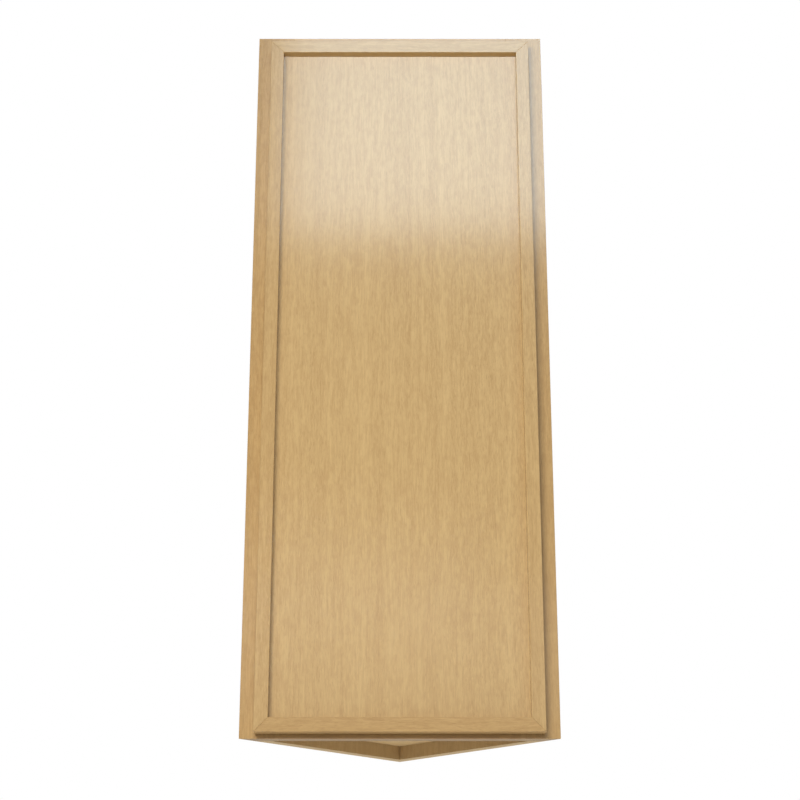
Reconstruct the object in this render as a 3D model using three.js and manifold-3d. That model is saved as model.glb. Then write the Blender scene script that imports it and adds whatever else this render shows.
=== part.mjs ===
// Angled end wall cabinet, 12 x 12 x 42 in: two plywood legs at a right angle, a diagonal face
// frame, one tall overlay door on three concealed hinges, and three loose triangular shelves.
//
// Millimetres, +Z up. The origin is the bottom end of the back corner's outer edge. The face
// looks along -Y, +X is to the right of someone facing the door, and the plan is symmetric
// about x = 0. The left leg's outer face is the plane x = y, the right leg's is x = -y.

import * as THREE from 'three';
import { mergeVertices } from 'three/addons/utils/BufferGeometryUtils.js';
import Module from 'manifold-3d';

// Carcass
const LEG = 304.8;
const HEIGHT = 1066.8;
const SIDE_T = 15.875;
const CAP_T = 19.05;
const CAP_RECESS = 19.05;
const DADO_DEPTH = 6.35;
const JOINT_GAP = 0.25;

// Face frame
const FRAME_T = 19.05;
const STILE_W = 53.975;
const RAIL_H = 38.1;

// Hanging rails, inside the legs under the top panel and on the bottom panel
const HANG_T = 12.7;
const HANG_H = 63.5;

// Shelves and their pins
const SHELF_T = 15.875;
const SHELF_HALF_W = 154;
const SHELF_SETBACK = 3;
const SHELF_SIDE_GAP = 2;
const SHELF_TIP_HALF = 9;
const FIRST_SHELF_Z = 269.5;
const SHELF_NAMES = ['lower', 'middle', 'upper'];
const HOLE_PITCH = 32;
const ROWS_PER_SHELF = 8;
const ROWS_BEYOND = 2;
const HOLE_DEPTH = 10;
const HOLE_SPARE = 1;
const HOLE_R = 2.95;
const HOLE_SIDES = 6;
const PIN_COLUMNS = [['back', 70], ['front', 225]];
const PIN_R = 2.5;
const PIN_COLLAR_R = 4;
const PIN_COLLAR_T = 1.2;
const PIN_REACH = 8.5;
const PIN_SIDES = 8;

// Door
const DOOR_HALF_W = 194.5;
const DOOR_BOTTOM_Z = 6.35;
const DOOR_TOP_Z = 1049.8;
const DOOR_T = 19.05;
const DOOR_GAP = 2.4;
const MEMBER_W = 19.05;
const PANEL_T = 5.2;
const RABBET_W = 4.6;
const PANEL_SLACK = 0.4;
const BUMPER_R = 4;
const BUMPER_T = 2.3;
const BUMPER_TOP_SHARE = 0.8;
const BUMPER_SIDES = 12;
const BUMPER_INSET = 7.2;
const BUMPER_FROM_END = 30;

// Hinges: a narrow boss let into the door's stile, a cranked arm and a plate on the frame's edge
const HINGE_NAMES = ['bottom', 'middle', 'top'];
const HINGE_FROM_END = 76.2;
const PIVOT_FROM_EDGE = 5.2;
const PIVOT_FROM_BACK = 5.5;
const PIVOT_R = 1.2;
const PIVOT_LENGTH = 26;
const PIVOT_CLEARANCE = 0.12;
const BOSS_FROM_EDGE = 2;
const BOSS_W = 12.2;
const BOSS_DEPTH = 9.4;
const BOSS_LENGTH = 44;
const BOSS_CLEARANCE = 0.1;
const BOSS_FLOOR = 1.2;
const MOUTH_WALL = 0.6;
const MOUTH_LENGTH = 15;
const BORE_SPARE = 0.2;
const ARM_T = 1.2;
const ARM_H = 13;
const EYE_R = 2.2;
const EYE_SIDES = 12;
const CRANK = 7.6;
const ARM_OFF_FRAME = 0.1;
const PLATE_T = 2;
const PLATE_H = 32;
const PLATE_FRONT = 2.5;
const PLATE_BACK = 17.5;
const WING_BACK = 16.5;

// Screws: [head radius, head height, shank radius, shank length]
const BOSS_SCREW = [2.3, 1.4, 1.1, 8];
const PLATE_SCREW = [3, 1.6, 1.7, 20];
const BOSS_SCREW_OFFSET = 15.5;
const SCREW_SEAT = 4.5;
const SCREW_SIDES = 8;
const SCREW_CLEARANCE = 0.15;
const SEAT_CLEARANCE = 0.4;
const OVERCUT = 1;

// Worked out from the above
const ROOT2 = Math.SQRT2;
const FRONT_Y = -LEG / ROOT2;
const FACE_HALF_W = LEG / ROOT2;
const FRAME_BACK_Y = FRONT_Y + FRAME_T;
const OPENING_HALF_W = FACE_HALF_W - STILE_W;
const FLOOR_Z = CAP_RECESS + CAP_T;
const CEILING_Z = HEIGHT - FLOOR_Z;
const LEG_FRONT = LEG - (FRAME_T + JOINT_GAP) * ROOT2;
const DOOR_BACK_Y = FRONT_Y - DOOR_GAP;
const PIVOT_X = -DOOR_HALF_W + PIVOT_FROM_EDGE;
const PIVOT_Y = DOOR_BACK_Y - PIVOT_FROM_BACK;
const BOSS_X = -DOOR_HALF_W + BOSS_FROM_EDGE;
const BOSS_FLOOR_Y = DOOR_BACK_Y - BOSS_DEPTH;
const PLATE_SCREW_Y = FRONT_Y + (PLATE_FRONT + PLATE_BACK) / 2;
const SHELF_STEP = ROWS_PER_SHELF * HOLE_PITCH;
const SHELF_Z = SHELF_NAMES.map((name, i) => FIRST_SHELF_Z + i * SHELF_STEP);
const HINGE_Z = [
  DOOR_BOTTOM_Z + HINGE_FROM_END,
  (DOOR_BOTTOM_Z + DOOR_TOP_Z) / 2,
  DOOR_TOP_Z - HINGE_FROM_END,
];

const wood = { roughness: 0.5, metalness: 0 };
const OAK = new THREE.MeshStandardMaterial({ color: 0xc8a879, ...wood });
const OAK_INSIDE = new THREE.MeshStandardMaterial({ color: 0xd2b587, ...wood });
const STEEL = new THREE.MeshStandardMaterial({ color: 0xb9bbbd, roughness: 0.3, metalness: 1 });
const ZINC = new THREE.MeshStandardMaterial({ color: 0xc4c2ba, roughness: 0.4, metalness: 1 });
const CLEAR_RUBBER = new THREE.MeshStandardMaterial({ color: 0xdedfdc, roughness: 0.35 });

const wasm = await Module();
wasm.setup();

const cabinet = new THREE.Group();

function addPart(name, geometry, material) {
  const mesh = new THREE.Mesh(geometry, material);
  mesh.name = name;
  cabinet.add(mesh);
  return mesh;
}

// A closed three.js geometry as a solid that can be cut.
function solidOf(geometry) {
  const bare = geometry.clone();
  bare.deleteAttribute('normal');
  bare.deleteAttribute('uv');
  const merged = mergeVertices(bare, 1e-5);
  const vertProperties = Float32Array.from(merged.attributes.position.array);
  const triVerts = Uint32Array.from(merged.index.array);
  return new wasm.Manifold(new wasm.Mesh({ numProp: 3, vertProperties, triVerts }));
}

// A cut solid as a three.js geometry again.
function geometryOf(solid) {
  const { vertProperties, triVerts } = solid.getMesh();
  const geometry = new THREE.BufferGeometry();
  geometry.setAttribute('position', new THREE.BufferAttribute(vertProperties, 3));
  geometry.setIndex(new THREE.BufferAttribute(triVerts, 1));
  geometry.computeVertexNormals();
  return geometry;
}

// The body with every cutter taken out of it.
function cut(body, cutters) {
  let solid = solidOf(body);
  for (const cutter of cutters) solid = solid.subtract(solidOf(cutter));
  return geometryOf(solid);
}

function outline(points) {
  return new THREE.Shape(points.map(([x, y]) => new THREE.Vector2(x, y)));
}

// A plan outline of (x, y) points carried from height z0 up to z1.
function upright(points, z0, z1) {
  const depth = z1 - z0;
  const geometry = new THREE.ExtrudeGeometry(outline(points), { depth, bevelEnabled: false });
  return geometry.translate(0, 0, z0);
}

// A front view outline of (x, z) points, carried forwards from yBack by a depth.
function facing(points, yBack, depth) {
  const geometry = new THREE.ExtrudeGeometry(outline(points), { depth, bevelEnabled: false });
  return geometry.rotateX(Math.PI / 2).translate(0, yBack, 0);
}

function block(x0, x1, y0, y1, z0, z1) {
  const geometry = new THREE.BoxGeometry(x1 - x0, y1 - y0, z1 - z0);
  return geometry.translate((x0 + x1) / 2, (y0 + y1) / 2, (z0 + z1) / 2);
}

// A rod from a start point along a direction.
function rod(start, direction, length, radius, sides) {
  const geometry = new THREE.CylinderGeometry(radius, radius, length, sides);
  geometry.translate(0, length / 2, 0);
  return aim(geometry, start, direction);
}

// Turns a shape that was made along +Y to lie along a direction from a start point.
function aim(geometry, start, direction) {
  const along = new THREE.Vector3(...direction).normalize();
  const turn = new THREE.Quaternion().setFromUnitVectors(new THREE.Vector3(0, 1, 0), along);
  return geometry.applyQuaternion(turn).translate(...start);
}

// A turned piece: [radius, distance along the axis] pairs, from axis to axis.
function turned(profile, sides, start, direction) {
  const points = profile.map(([r, y]) => new THREE.Vector2(r, y));
  return aim(new THREE.LatheGeometry(points, sides), start, direction);
}

// Plan position from a leg's own measures: along it from the back corner, and in from its outer
// face. The side is -1 for the left leg and 1 for the right.
function legPoint(side, along, inward) {
  return [(side * (along - inward)) / ROOT2, -(along + inward) / ROOT2];
}

function legInward(side) {
  return [-side / ROOT2, -1 / ROOT2, 0];
}

// The height of every hole row: the shelves' own rows, and some above and below them.
function holeRows() {
  const rows = [];
  const count = ROWS_PER_SHELF * (SHELF_NAMES.length - 1) + 2 * ROWS_BEYOND + 1;
  for (let i = 0; i < count; i += 1) {
    rows.push(FIRST_SHELF_Z - PIN_R + (i - ROWS_BEYOND) * HOLE_PITCH);
  }
  return rows;
}

// The triangle that a top or bottom panel fills, set in from the legs' outer faces.
function capOutline(inset) {
  const reach = inset * ROOT2;
  const halfW = -FRAME_BACK_Y - reach;
  return [[-halfW, FRAME_BACK_Y], [halfW, FRAME_BACK_Y], [0, -reach]];
}

// One leg of the carcass, with its two dadoes and its columns of shelf pin holes.
function sidePanel(side) {
  // The left panel runs through to the back corner and the right one butts against it.
  const start = side < 0 ? 0 : SIDE_T + JOINT_GAP;
  const plan = [
    legPoint(side, start, 0),
    legPoint(side, LEG_FRONT, 0),
    legPoint(side, LEG_FRONT - SIDE_T, SIDE_T),
    legPoint(side, start, SIDE_T),
  ];
  if (side > 0) plan.reverse();
  const body = upright(plan, 0, HEIGHT);

  const dado = capOutline(SIDE_T - DADO_DEPTH);
  const cutters = [
    upright(dado, CAP_RECESS, FLOOR_Z),
    upright(dado, CEILING_Z, HEIGHT - CAP_RECESS),
  ];
  for (const [, along] of PIN_COLUMNS) {
    for (const z of holeRows()) {
      const mouth = [...legPoint(side, along, SIDE_T + OVERCUT), z];
      const intoLeg = legInward(side).map((v) => -v);
      cutters.push(rod(mouth, intoLeg, HOLE_DEPTH + OVERCUT, HOLE_R, HOLE_SIDES));
    }
  }
  return cut(body, cutters);
}

function addCarcass() {
  addPart('left_side_panel', sidePanel(-1), OAK);
  addPart('right_side_panel', sidePanel(1), OAK);

  const cap = capOutline(SIDE_T - DADO_DEPTH + JOINT_GAP);
  addPart('bottom_panel', upright(cap, CAP_RECESS, FLOOR_Z), OAK);
  addPart('top_panel', upright(cap, CEILING_Z, HEIGHT - CAP_RECESS), OAK);
}

function addFaceFrame() {
  // Each stile's outer edge is bevelled at 45 degrees, in line with its leg.
  for (const [name, side] of [['left', -1], ['right', 1]]) {
    const plan = [
      [side * OPENING_HALF_W, FRONT_Y],
      [side * FACE_HALF_W, FRONT_Y],
      [side * (FACE_HALF_W - FRAME_T), FRAME_BACK_Y],
      [side * OPENING_HALF_W, FRAME_BACK_Y],
    ];
    if (side < 0) plan.reverse();
    let stile = upright(plan, 0, HEIGHT);
    if (side < 0) stile = cut(stile, plateScrewPilots());
    addPart(`frame_${name}_stile`, stile, OAK);
  }
  const w = OPENING_HALF_W;
  addPart('frame_bottom_rail', block(-w, w, FRONT_Y, FRAME_BACK_Y, 0, RAIL_H), OAK);
  addPart('frame_top_rail', block(-w, w, FRONT_Y, FRAME_BACK_Y, HEIGHT - RAIL_H, HEIGHT), OAK);
}

function addHangingRails() {
  const inner = SIDE_T + JOINT_GAP;
  for (const [name, side] of [['left', -1], ['right', 1]]) {
    // The left rail reaches the corner and the right one butts against it.
    const start = side < 0 ? inner : inner + HANG_T + JOINT_GAP;
    const plan = [
      legPoint(side, start, inner),
      legPoint(side, LEG_FRONT - inner, inner),
      legPoint(side, LEG_FRONT - inner - HANG_T, inner + HANG_T),
      legPoint(side, start, inner + HANG_T),
    ];
    if (side > 0) plan.reverse();
    addPart(`lower_hanging_rail_${name}`, upright(plan, FLOOR_Z, FLOOR_Z + HANG_H), OAK_INSIDE);
    addPart(`upper_hanging_rail_${name}`, upright(plan, CEILING_Z - HANG_H, CEILING_Z), OAK_INSIDE);
  }
}

function addShelves() {
  const yFront = FRAME_BACK_Y + SHELF_SETBACK;
  const reach = (SIDE_T + SHELF_SIDE_GAP) * ROOT2;
  const w = SHELF_HALF_W;
  const tip = SHELF_TIP_HALF;
  const plan = [
    [-w, yFront],
    [w, yFront],
    [w, -w - reach],
    [tip, -tip - reach],
    [-tip, -tip - reach],
    [-w, -w - reach],
  ];
  SHELF_NAMES.forEach((name, i) => {
    addPart(`${name}_shelf`, upright(plan, SHELF_Z[i], SHELF_Z[i] + SHELF_T), OAK_INSIDE);
  });
}

function addShelfPins() {
  const shank = HOLE_DEPTH - HOLE_SPARE;
  const flange = shank + JOINT_GAP;
  const profile = [
    [0, 0],
    [PIN_R, 0],
    [PIN_R, flange],
    [PIN_COLLAR_R, flange],
    [PIN_COLLAR_R, flange + PIN_COLLAR_T],
    [PIN_R, flange + PIN_COLLAR_T],
    [PIN_R, flange + PIN_REACH],
    [0, flange + PIN_REACH],
  ];
  SHELF_NAMES.forEach((shelf, i) => {
    for (const [sideName, side] of [['left', -1], ['right', 1]]) {
      for (const [column, along] of PIN_COLUMNS) {
        const start = [...legPoint(side, along, SIDE_T - shank), SHELF_Z[i] - PIN_R];
        const pin = turned(profile, PIN_SIDES, start, legInward(side));
        addPart(`${shelf}_shelf_pin_${sideName}_${column}`, pin, STEEL);
      }
    }
  });
}

// The four mitred members of the door, rabbeted behind for the panel.
function addDoor() {
  const w = DOOR_HALF_W;
  const wi = w - MEMBER_W;
  const [z0, z1] = [DOOR_BOTTOM_Z, DOOR_TOP_Z];
  const [z0i, z1i] = [z0 + MEMBER_W, z1 - MEMBER_W];
  const outlines = {
    door_left_stile: [[-w, z0], [-wi, z0i], [-wi, z1i], [-w, z1]],
    door_right_stile: [[w, z0], [w, z1], [wi, z1i], [wi, z0i]],
    door_bottom_rail: [[-w, z0], [w, z0], [wi, z0i], [-wi, z0i]],
    door_top_rail: [[-wi, z1i], [wi, z1i], [w, z1], [-w, z1]],
  };
  const r = RABBET_W;
  const rabbet = block(
    -wi - r, wi + r,
    DOOR_BACK_Y - PANEL_T, DOOR_BACK_Y + OVERCUT,
    z0i - r, z1i + r,
  );
  for (const [name, points] of Object.entries(outlines)) {
    const cutters = name === 'door_left_stile' ? [rabbet, ...bossCuts()] : [rabbet];
    addPart(name, cut(facing(points, DOOR_BACK_Y, DOOR_T), cutters), OAK);
  }
  const reach = r - PANEL_SLACK;
  const panel = block(
    -wi - reach, wi + reach,
    DOOR_BACK_Y - PANEL_T, DOOR_BACK_Y,
    z0i - reach, z1i + reach,
  );
  addPart('door_panel', panel, OAK);
}

// Two bumpers on the back of the door's free stile.
function addBumpers() {
  const profile = [[0, 0], [BUMPER_R, 0], [BUMPER_R * BUMPER_TOP_SHARE, BUMPER_T], [0, BUMPER_T]];
  const x = DOOR_HALF_W - BUMPER_INSET;
  const heights = [
    ['lower', DOOR_BOTTOM_Z + BUMPER_FROM_END],
    ['upper', DOOR_TOP_Z - BUMPER_FROM_END],
  ];
  for (const [name, z] of heights) {
    const bumper = turned(profile, BUMPER_SIDES, [x, DOOR_BACK_Y, z], [0, 1, 0]);
    addPart(`${name}_bumper`, bumper, CLEAR_RUBBER);
  }
}

// A mortise and two screw pilots for each hinge boss, in the door's left stile.
function bossCuts() {
  const c = BOSS_CLEARANCE;
  const [x0, x1] = [BOSS_X - c, BOSS_X + BOSS_W + c];
  const half = BOSS_LENGTH / 2 + c;
  const [, , shankR, shankLength] = BOSS_SCREW;
  return HINGE_Z.flatMap((z) => [
    block(x0, x1, BOSS_FLOOR_Y - c, DOOR_BACK_Y + OVERCUT, z - half, z + half),
    ...[-1, 1].map((end) => rod(
      [BOSS_X + BOSS_W / 2, BOSS_FLOOR_Y + OVERCUT, z + end * BOSS_SCREW_OFFSET],
      [0, -1, 0],
      shankLength - OVERCUT,
      shankR + SCREW_CLEARANCE,
      SCREW_SIDES,
    )),
  ]);
}

// A screw pilot for each hinge plate, in the frame's left stile.
function plateScrewPilots() {
  const [, , shankR, shankLength] = PLATE_SCREW;
  const x = -OPENING_HALF_W + OVERCUT;
  return HINGE_Z.map((z) => (
    rod([x, PLATE_SCREW_Y, z], [-1, 0, 0], shankLength, shankR + SCREW_CLEARANCE, SCREW_SIDES)
  ));
}

function screw([headR, headH, shankR, length], headTop, direction) {
  const profile = [
    [0, 0],
    [headR, 0],
    [headR, headH],
    [shankR, headH],
    [shankR, length + headH],
    [0, length + headH],
  ];
  return turned(profile, SCREW_SIDES, headTop, direction);
}

// The zinc block in the door's stile: a mouth in its middle for the arm, a seat at each end
// for a screw, and a bore for the pivot pin.
function hingeBoss(z) {
  const [x0, x1] = [BOSS_X, BOSS_X + BOSS_W];
  const half = BOSS_LENGTH / 2;
  const body = block(x0, x1, BOSS_FLOOR_Y, DOOR_BACK_Y, z - half, z + half);
  const mouth = block(
    x0 + MOUTH_WALL, x1 - MOUTH_WALL,
    BOSS_FLOOR_Y + BOSS_FLOOR, DOOR_BACK_Y + OVERCUT,
    z - MOUTH_LENGTH / 2, z + MOUTH_LENGTH / 2,
  );
  const boreLength = PIVOT_LENGTH + 2 * BORE_SPARE;
  const boreStart = [PIVOT_X, PIVOT_Y, z - boreLength / 2];
  const bore = rod(boreStart, [0, 0, 1], boreLength, PIVOT_R + PIVOT_CLEARANCE, SCREW_SIDES);
  const [headR, , shankR] = BOSS_SCREW;
  const seats = [-1, 1].flatMap((end) => {
    const seat = [x0 + BOSS_W / 2, DOOR_BACK_Y + OVERCUT, z + end * BOSS_SCREW_OFFSET];
    return [
      rod(seat, [0, -1, 0], SCREW_SEAT + OVERCUT, headR + SEAT_CLEARANCE, SCREW_SIDES),
      rod(seat, [0, -1, 0], BOSS_DEPTH + 2 * OVERCUT, shankR + SCREW_CLEARANCE, SCREW_SIDES),
    ];
  });
  return cut(body, [mouth, bore, ...seats]);
}

// The cranked arm in plan: an eye round the pin, a crank out of the boss, a run through the gap
// between door and frame, and a wing that turns in beside the frame's inner edge.
function hingeArm(z) {
  const half = ARM_T / 2;
  const yGap = FRONT_Y - ARM_OFF_FRAME;
  const xWing = -OPENING_HALF_W + PLATE_T + 2 * ARM_OFF_FRAME;
  const plan = [
    [PIVOT_X, PIVOT_Y - half],
    [PIVOT_X + CRANK + half, PIVOT_Y - half],
    [PIVOT_X + CRANK + half, yGap - ARM_T],
    [xWing + ARM_T, yGap - ARM_T],
    [xWing + ARM_T, FRONT_Y + WING_BACK],
    [xWing, FRONT_Y + WING_BACK],
    [xWing, yGap],
    [PIVOT_X + CRANK - half, yGap],
    [PIVOT_X + CRANK - half, PIVOT_Y + half],
    [PIVOT_X, PIVOT_Y + half],
  ];
  const z0 = z - ARM_H / 2;
  const z1 = z + ARM_H / 2;
  const strip = solidOf(upright(plan, z0, z1));
  const eye = solidOf(rod([PIVOT_X, PIVOT_Y, z0], [0, 0, 1], ARM_H, EYE_R, EYE_SIDES));
  const boreR = PIVOT_R + PIVOT_CLEARANCE;
  const boreStart = [PIVOT_X, PIVOT_Y, z0 - OVERCUT];
  const bore = rod(boreStart, [0, 0, 1], ARM_H + 2 * OVERCUT, boreR, SCREW_SIDES);
  return cut(geometryOf(strip.add(eye)), [bore, plateScrewHole(z)]);
}

// The cutter for a plate screw's hole, right through the wing and the plate.
function plateScrewHole(z) {
  const start = [-OPENING_HALF_W - OVERCUT, PLATE_SCREW_Y, z];
  const length = 2 * (PLATE_T + ARM_T);
  return rod(start, [1, 0, 0], length, PLATE_SCREW[2] + SCREW_CLEARANCE, SCREW_SIDES);
}

function hingePlate(z) {
  const x0 = -OPENING_HALF_W + ARM_OFF_FRAME;
  const half = PLATE_H / 2;
  const [y0, y1] = [FRONT_Y + PLATE_FRONT, FRONT_Y + PLATE_BACK];
  return cut(block(x0, x0 + PLATE_T, y0, y1, z - half, z + half), [plateScrewHole(z)]);
}

function addHinges() {
  // The plate, the wing and the screw's head each lie one small gap further in.
  const [, plateHeadH] = PLATE_SCREW;
  const plateHeadX = -OPENING_HALF_W + PLATE_T + ARM_T + 3 * ARM_OFF_FRAME + plateHeadH;
  const bossScrewX = BOSS_X + BOSS_W / 2;
  const bossHeadY = DOOR_BACK_Y - SCREW_SEAT + BOSS_SCREW[1];
  HINGE_NAMES.forEach((name, i) => {
    const z = HINGE_Z[i];
    addPart(`${name}_hinge_boss`, hingeBoss(z), ZINC);
    addPart(`${name}_hinge_arm`, hingeArm(z), STEEL);
    addPart(`${name}_hinge_plate`, hingePlate(z), STEEL);
    const pinStart = [PIVOT_X, PIVOT_Y, z - PIVOT_LENGTH / 2];
    const pin = rod(pinStart, [0, 0, 1], PIVOT_LENGTH, PIVOT_R, SCREW_SIDES);
    addPart(`${name}_hinge_pin`, pin, STEEL);
    for (const [end, side] of [['lower', -1], ['upper', 1]]) {
      const head = [bossScrewX, bossHeadY, z + side * BOSS_SCREW_OFFSET];
      addPart(`${name}_hinge_boss_screw_${end}`, screw(BOSS_SCREW, head, [0, -1, 0]), STEEL);
    }
    const plateScrew = screw(PLATE_SCREW, [plateHeadX, PLATE_SCREW_Y, z], [-1, 0, 0]);
    addPart(`${name}_hinge_plate_screw`, plateScrew, STEEL);
  });
}

addCarcass();
addFaceFrame();
addHangingRails();
addShelves();
addShelfPins();
addDoor();
addBumpers();
addHinges();

export default cabinet;
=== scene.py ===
# %% [markdown]
# # An angled end wall cabinet in oak
#
# The cabinet closes the end of a row of wall cabinets. Its plan is a right-angled triangle: two
# plywood legs meet at the back corner, and a diagonal face with one tall door joins their front
# ends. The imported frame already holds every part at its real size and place, so each cell below
# reads its measures from the frame and makes the surface that a maker would see and touch.

# %% Load the frame
import math

import bmesh
import bpy
import numpy as np
from mathutils import Matrix, Vector


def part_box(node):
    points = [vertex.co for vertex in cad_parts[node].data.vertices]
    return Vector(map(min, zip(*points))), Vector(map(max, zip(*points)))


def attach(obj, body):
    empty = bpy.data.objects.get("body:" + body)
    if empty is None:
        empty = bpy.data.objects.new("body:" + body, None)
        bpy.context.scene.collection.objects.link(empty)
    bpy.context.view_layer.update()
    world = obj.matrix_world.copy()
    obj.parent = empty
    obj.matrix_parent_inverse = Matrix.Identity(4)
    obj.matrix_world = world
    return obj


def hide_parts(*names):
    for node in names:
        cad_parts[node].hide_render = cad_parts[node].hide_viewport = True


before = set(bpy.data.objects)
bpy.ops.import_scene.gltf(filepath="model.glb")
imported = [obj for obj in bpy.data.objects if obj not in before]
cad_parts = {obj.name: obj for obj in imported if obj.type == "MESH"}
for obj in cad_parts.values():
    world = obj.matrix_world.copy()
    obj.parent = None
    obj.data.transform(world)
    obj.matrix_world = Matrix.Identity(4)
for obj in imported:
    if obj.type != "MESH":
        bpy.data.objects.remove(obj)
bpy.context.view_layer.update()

# %% [markdown]
# ## Measures
#
# A cabinet maker works from a few sizes: how wide the face is, how thick the boards are, how far
# the door stands off. They could be typed in again, but then two sets of numbers could disagree.
# Reading them from the frame's boxes keeps one set only. Everything is in metres.

# %% Measures from the frame
MM = 0.001
ROOT2 = math.sqrt(2)
X, Y, Z = np.eye(3)


def box(node):
    """The lowest and highest corner of a CAD node as two arrays of x, y, z."""
    low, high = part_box(node)
    return np.array(low), np.array(high)


stile_low, stile_high = box("frame_right_stile")
HEIGHT = stile_high[2]
FACE_HALF = stile_high[0]
OPENING_HALF = stile_low[0]
FRONT_Y, FRAME_BACK_Y = stile_low[1], stile_high[1]
SIDE_T = box("left_side_panel")[1][0] * ROOT2
JOINT_GAP = 0.25 * MM

door_low, door_high = box("door_bottom_rail")
DOOR_HALF = door_high[0]
DOOR_FRONT_Y, DOOR_BACK_Y = door_low[1], door_high[1]
DOOR_BOTTOM, DOOR_TOP = door_low[2], box("door_top_rail")[1][2]
MEMBER_W = DOOR_HALF + box("door_left_stile")[1][0]

SHELVES = ("lower", "middle", "upper")
HINGES = ("bottom", "middle", "top")
SIDES = {"left": -1, "right": 1}
print(f"face {2 * FACE_HALF:.4f} m wide, {HEIGHT:.4f} m high; legs {SIDE_T * 1000:.2f} mm thick")
print(f"door {2 * DOOR_HALF:.4f} x {DOOR_TOP - DOOR_BOTTOM:.4f} m, members {MEMBER_W:.4f} m")

# %% [markdown]
# ## A board as a surface of two parameters
#
# No real board has a razor edge: a pass of sandpaper rounds every arris by a fraction of a
# millimetre, and that narrow round is what catches the light. A cube with a Bevel modifier could
# do it, but the boards here are trapezoids, triangles and rabbeted sections. So a board is made
# as its core grown by a small ball. One parameter runs round the outline, the other runs from
# the one end over its rounded lip, along the length, and over the other lip.


# %% The grown prism
SHARP_TURN = math.radians(25)


def counter_clockwise(outline):
    """The outline's points in the order that keeps the inside on the left."""
    points = np.asarray(outline, float)
    x, y = points.T
    area = np.sum(x * np.roll(y, -1) - y * np.roll(x, -1))
    return points if area > 0 else points[::-1]


def corner_rays(outline, ease, steps):
    """Core points and rays round an outline.

    A core point is a corner moved in so that both its edges move in by ease. A sharp outer
    corner's rays turn evenly from one edge's normal to the next. A hollow corner, or one that
    hardly turns, has a single ray, long enough to move both edges out by one.
    """
    points = counter_clockwise(outline)
    edges = np.roll(points, -1, axis=0) - points
    after = np.stack([edges[:, 1], -edges[:, 0]], 1) / np.linalg.norm(edges, axis=1)[:, None]
    before = np.roll(after, 1, axis=0)
    aligned = np.sum(before * after, 1)
    miter = (before + after) / (1 + aligned)[:, None]
    turn = np.arctan2(before[:, 0] * after[:, 1] - before[:, 1] * after[:, 0], aligned)

    sharp = turn > SHARP_TURN
    shares = np.linspace(0, 1, steps + 1)
    angles = np.arctan2(before[:, 1], before[:, 0])[:, None] + turn[:, None] * shares
    rays = np.stack([np.cos(angles), np.sin(angles)], 2)
    rays[~sharp] = miter[~sharp, None]
    cores = np.repeat((points - ease * miter)[:, None], steps + 1, axis=1)
    kept = sharp[:, None] | (np.arange(steps + 1) == 0)
    return cores[kept], rays[kept]


def grown_prism(outline, low, high, ease, steps=3):
    """Points [row, column, xyz] of an eased prism over an outline.

    Point(row b, column a) = core(a) + ease * (cos b * ray(a), sin b). The angle b runs from -90
    to 90 degrees; the core lies at low + ease for the first half and at high - ease for the rest.
    """
    cores, rays = corner_rays(outline, ease, steps)
    quarter = np.linspace(0, math.pi / 2, steps + 1)
    angles = np.concatenate([quarter - math.pi / 2, quarter])
    level = np.repeat([low + ease, high - ease], steps + 1)
    flat = cores[None] + ease * np.cos(angles)[:, None, None] * rays[None]
    rise = np.broadcast_to((level + ease * np.sin(angles))[:, None, None], (*flat.shape[:2], 1))
    return np.concatenate([flat, rise], 2)


def grid_quads(rows, columns):
    """The quads of a grid whose last column joins its first."""
    row, column = np.meshgrid(np.arange(rows - 1), np.arange(columns), indexing="ij")
    first = row * columns + column
    beside = row * columns + (column + 1) % columns
    return np.stack([first, beside, beside + columns, first + columns], -1).reshape(-1, 4)


demo = grown_prism([(0, 0), (1, 0), (1, 1), (0, 1)], 0, 1, 0.1)
print("a grown square has", demo.shape[0], "rows of", demo.shape[1], "points")

# %% [markdown]
# ## From points to a Blender piece
#
# A piece's object stays at the origin and its place is in its points, as the frame's own nodes
# are. The flat faces of a board are shaded flat and only its rounded lips smoothly: if all were
# smooth, Blender would average the normals and a flat door would look like a cushion.


# %% Making a mesh
SHARP_EDGE = math.radians(40)


def new_mesh(name, points, faces, smooth):
    """A mesh object from points and faces. Coincident points merge and all faces turn outwards."""
    mesh = bpy.data.meshes.new(name)
    mesh.from_pydata(np.asarray(points, float).reshape(-1, 3).tolist(), [], faces)
    mesh.polygons.foreach_set("use_smooth", smooth)
    made = bmesh.new()
    made.from_mesh(mesh)
    bmesh.ops.remove_doubles(made, verts=made.verts, dist=1e-7)
    bmesh.ops.recalc_face_normals(made, faces=made.faces)
    made.to_mesh(mesh)
    made.free()
    rounded_faces = np.zeros(len(mesh.polygons), bool)
    mesh.polygons.foreach_get("use_smooth", rounded_faces)
    mesh.set_sharp_from_angle(angle=SHARP_EDGE)
    mesh.polygons.foreach_set("use_smooth", rounded_faces)
    piece = bpy.data.objects.new(name, mesh)
    bpy.context.scene.collection.objects.link(piece)
    return piece


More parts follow.
